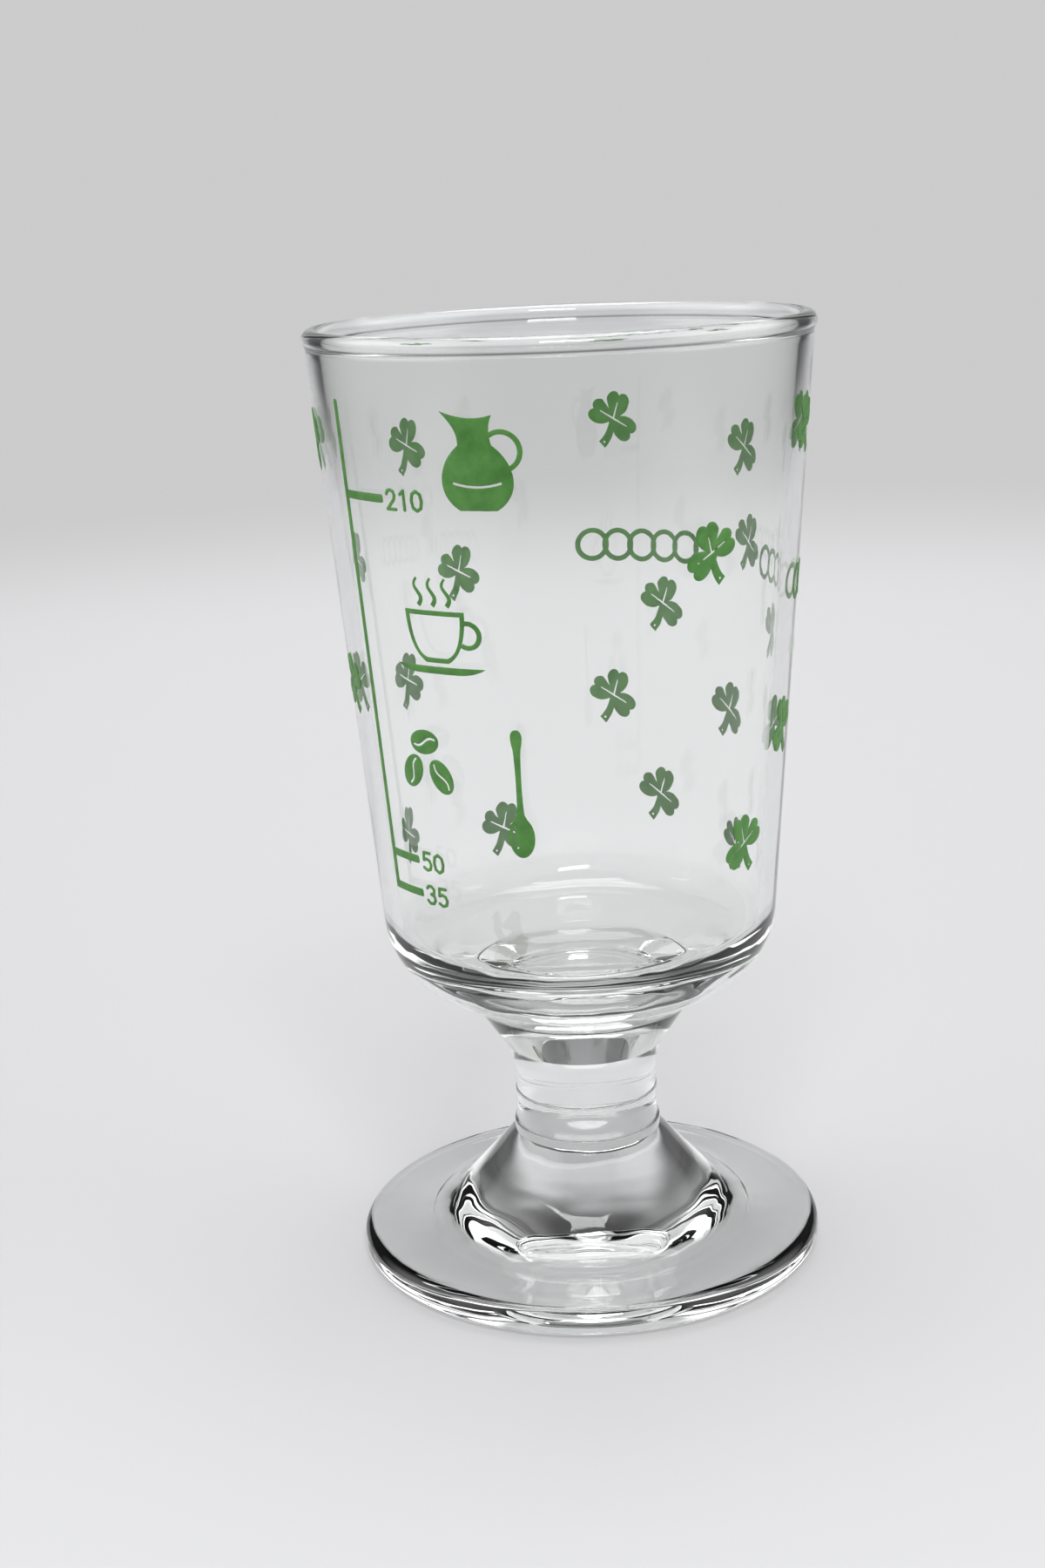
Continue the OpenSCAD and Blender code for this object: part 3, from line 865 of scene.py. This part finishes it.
def stage_material():
    """Studio paper: pale near the glass and behind it; elsewhere dark grey, a painted shade.

    All of it is pale where it is seen plainly.
    """
    material, add, links, surface = new_material("studio_paper")
    place = object_coordinates(add)
    fibre = add("ShaderNodeTexNoise", Scale=900.0, Detail=2.0, Vector=place)
    bump = add("ShaderNodeBump", Strength=0.05, Distance=0.0002)
    links.new(fibre.outputs["Fac"], bump.inputs["Height"])
    paper = add("ShaderNodeBsdfPrincipled", Roughness=0.55)
    apart = add("ShaderNodeSeparateXYZ", Vector=place).outputs
    side = two_values(add, "ABSOLUTE", apart["X"], 0.0)
    pale = 1.0
    # Painted shade: the paper turns dark grey to the sides, to the front and upwards
    for value, reach in ((side, SIDE_FADE), (apart["Y"], FRONT_FADE), (apart["Z"], TOP_FADE)):
        fade = map_range(add, value, *reach, 1.0, 0.0)
        fade.node.interpolation_type = "SMOOTHSTEP"
        pale = two_values(add, "MULTIPLY", pale, fade)
    seen = seen_plainly(add)
    pale = two_values(add, "MAXIMUM", pale, seen)
    grey = add("ShaderNodeMix", data_type="RGBA", Factor=pale)
    grey.inputs["A"].default_value = PAPER_PAINTED_SHADE
    grey.inputs["B"].default_value = PAPER_PALE
    links.new(grey.outputs["Result"], paper.inputs["Base Color"])
    links.new(bump.outputs["Normal"], paper.inputs["Normal"])

    # Seen plainly, far out it fades into a painted glow, an emission as pale as the air
    length = add("ShaderNodeVectorMath", operation="LENGTH")
    links.new(place, length.inputs[0])
    far = map_range(add, length.outputs["Value"], *FAR_FADE, 0.0, 1.0)
    far.node.interpolation_type = "SMOOTHSTEP"
    air = add("ShaderNodeEmission", Color=(AIR_SEEN, AIR_SEEN, AIR_SEEN, 1))
    mix = add("ShaderNodeMixShader", Fac=two_values(add, "MULTIPLY", far, seen))
    links.new(paper.outputs["BSDF"], mix.inputs[1])
    links.new(air.outputs["Emission"], mix.inputs[2])
    links.new(mix.outputs["Shader"], surface)
    return material


glass = glass_material()
joint = joint_material()
enamel = enamel_material("fired_enamel", gloss=0.5)
enamel_back = enamel_material("fired_enamel_back", gloss=0.0)


# The glass
def seam_faces(radius):
    """Picks the flat faces of a seam out to a radius."""
    def pick(p, q):
        return abs(p.y - q.y) < TINY and max(p.x, q.x) <= radius + TINY
    return pick


def stem_seams(p, q):
    """Picks the stem's two seams: its bottom disc and its top disc."""
    return abs(p.y - q.y) < TINY and min(p.x, q.x) < TINY


def glass_piece(name, node, profile, pick, wave):
    """One piece of the glass, replacing its CAD node."""
    piece = lathe(name, profile, [glass, joint], pick, wave)
    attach(piece, BODY)
    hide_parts(node)


glass_piece("glass_bowl", "bowl", bowl_profile(), seam_faces(STEM_TOP_R), bowl_wave)
glass_piece("glass_stem", "stem", stem_profile(), stem_seams, stem_wave)
glass_piece("glass_foot", "foot", foot_profile(), seam_faces(WAIST_R), foot_wave)

# The prints; their edges are ragged in the same way in every run
noise.seed_set(RAGGED_SEED)
line_low = share_z(TICK_SHARES[0]) - TICK_W / 2
line_h = share_z(LINE_TOP_SHARE) - line_low
line_outline = ([Vector((-LINE_W / 2, 0)), Vector((LINE_W / 2, 0))]
                + arc((0, line_h - LINE_W / 2), LINE_W / 2, 0, 180, 10))
print_piece("scale_line", "fill_line", [([line_outline], [], SCALE_ANGLE, line_low)])

for i, share in enumerate(TICK_SHARES):
    length = TICK_L if i == len(TICK_SHARES) - 1 else TICK_LOW_L
    right = LINE_W / 2 + length
    tick = rounded([
        (LINE_W / 2, -TICK_W / 2, 0), (right, -TICK_W / 2, TICK_W / 4),
        (right, TICK_W / 2, TICK_W / 4), (LINE_W / 2, TICK_W / 2, 0),
    ])
    print_piece("scale_tick_%d" % (i + 1), "fill_tick_%d" % (i + 1),
                [([tick], [], SCALE_ANGLE, share_z(share))], flat_side=LINE_W / 2 + TOUCH_W)
    numeral_angle = SCALE_ANGLE + math.degrees((right + DIGIT_GAP) / wall_r(share_z(share)))
    print_piece("volume_%s" % VOLUMES[i], None,
                [(numeral_figure(VOLUMES[i]), [], numeral_angle, share_z(share))],
                ragged=RAGGED_DIGITS)

cup_solids, cup_holes = cup_figure()
print_piece("cup_figure", "cup_print",
            [(cup_solids, cup_holes, CUP_PLACE[0], share_z(CUP_PLACE[1]) - CUP_W * 0.3)])
jug_solids, jug_holes = jug_figure()
print_piece("jug_figure", "jug_print",
            [(jug_solids, jug_holes, JUG_PLACE[0], share_z(JUG_PLACE[1]) - JUG_H / 2)])
bean_parts = [bean_figure(62, (-0.52, 0)), bean_figure(118, (0.48, -0.06)),
              bean_figure(8, (0, 0.86))]
print_piece("bean_figure", "bean_print",
            [([oval], [groove], BEAN_PLACE[0], share_z(BEAN_PLACE[1]))
             for oval, groove in bean_parts])
spoon_solids, spoon_holes = spoon_figure()
print_piece("spoon_figure", "spoon_print",
            [(spoon_solids, spoon_holes, SPOON_PLACE[0],
              share_z(SPOON_PLACE[1]) - SPOON_L / 2)])
print_piece("ring_chain", "chain_border", chain_figures())
leaf_solids, leaf_holes = shamrock_figure()
for i, (angle, share) in enumerate(SHAMROCK_PLACES):
    print_piece("shamrock_figure_%02d" % (i + 1), "shamrock_%02d" % (i + 1),
                [(leaf_solids, leaf_holes, angle, share_z(share))])


# Stage, lights and camera
def studio():
    """A round pale floor, a hair under the foot, whose far side sweeps up into a backdrop."""
    floor_r, sweep_r, wall_h = 1.0, 0.55, 1.2
    floor_z = -0.08 * MM
    steps, sweep_rows, wall_rows = 120, 12, 2
    backdrop_end, floor_start = 0.6, 1.1
    rows = [0.02, 0.05, 0.1, 0.2, 0.35, 0.5, 0.65, 0.8, 0.9, 1.0]
    bm = bmesh.new()
    rings = [[bm.verts.new((0, 0, floor_z))]]
    for row in rows:
        rings.append([bm.verts.new((floor_r * row * math.sin(2 * math.pi * k / steps),
                                    floor_r * row * math.cos(2 * math.pi * k / steps), floor_z))
                      for k in range(steps)])
    for j in range(1, sweep_rows + wall_rows + 1):
        turn = math.radians(90 * min(j, sweep_rows) / sweep_rows)
        r = floor_r + sweep_r * math.sin(turn)
        z = sweep_r * (1 - math.cos(turn)) + wall_h * max(0, j - sweep_rows) / wall_rows
        ring = []
        for k in range(steps):
            a = 2 * math.pi * k / steps
            lift = 1 - ease(abs(math.remainder(a, 2 * math.pi)), backdrop_end, floor_start)
            ring.append(bm.verts.new((r * math.sin(a), r * math.cos(a), z * lift + floor_z)))
        rings.append(ring)
    for low, high in zip(rings, rings[1:]):
        for k in range(steps):
            n = (k + 1) % steps
            if len(low) == 1:
                bm.faces.new((low[0], high[k], high[n]))
            else:
                bm.faces.new((low[k], low[n], high[n], high[k]))
    bmesh.ops.recalc_face_normals(bm, faces=bm.faces)
    mesh = bpy.data.meshes.new("studio_sweep")
    bm.to_mesh(mesh)
    bm.free()
    stage = finish_mesh("studio_sweep", mesh, [stage_material()], SMOOTH_STAGE)


def softbox(name, place, size, power, aim):
    """An area lamp that faces a place."""
    data = bpy.data.lights.new(name, "AREA")
    data.shape = "RECTANGLE"
    data.size, data.size_y = size
    data.energy = power
    lamp = bpy.data.objects.new(name, data)
    lamp.location = place
    lamp.rotation_euler = (Vector(aim) - Vector(place)).to_track_quat("-Z", "Y").to_euler()
    bpy.context.scene.collection.objects.link(lamp)


def photo_camera():
    """The photograph's camera, fitted to the ellipses of the rim, shoulder and foot."""
    distance, height = 0.33927, 0.16651
    pitch, yaw, roll = 0.262, -0.024, -0.043
    focal_px, image_h = 2610.0, 1800.0
    forward = Vector((math.sin(yaw) * math.cos(pitch), math.cos(yaw) * math.cos(pitch),
                      -math.sin(pitch)))
    right = Vector((math.cos(yaw), -math.sin(yaw), 0))
    up = right.cross(forward)
    right, up = (right * math.cos(roll) + up * math.sin(roll),
                 up * math.cos(roll) - right * math.sin(roll))
    data = bpy.data.cameras.new("photo_camera")
    data.sensor_width = 36.0
    data.lens = focal_px / image_h * data.sensor_width
    data.clip_start = 0.01
    camera = bpy.data.objects.new("photo_camera", data)
    camera.matrix_world = Matrix.Translation((0, -distance, height)) @ Matrix(
        (right, up, -forward)).transposed().to_4x4()
    bpy.context.scene.collection.objects.link(camera)
    bpy.context.scene.camera = camera


def soft_surroundings():
    """Dim air with two broad soft lights, left and right, that show no edge in the glass."""
    world = bpy.data.worlds.new("studio_air")
    world.use_nodes = True
    tree = world.node_tree
    add = node_maker(tree)
    way = add("ShaderNodeTexCoord").outputs["Generated"]
    level = AIR_LEVEL
    for aim in PANEL_AIMS:
        dot = add("ShaderNodeVectorMath", operation="DOT_PRODUCT")
        dot.inputs[1].default_value = Vector(aim).normalized()
        tree.links.new(way, dot.inputs[0])
        glow = map_range(add, dot.outputs["Value"], math.cos(math.radians(PANEL_REACH)), 1.0,
                         0.0, PANEL_LEVEL)
        glow.node.interpolation_type = "SMOOTHERSTEP"
        level = two_values(add, "ADD", glow, level)
    seen = add("ShaderNodeMix", Factor=seen_plainly(add), A=level, B=AIR_SEEN)
    tree.links.new(seen.outputs["Result"], tree.nodes["Background"].inputs["Color"])
    bpy.context.scene.world = world


studio()
for lamp in LAMPS:
    softbox(*lamp)
photo_camera()
soft_surroundings()
bpy.context.scene.view_settings.view_transform = "Standard"
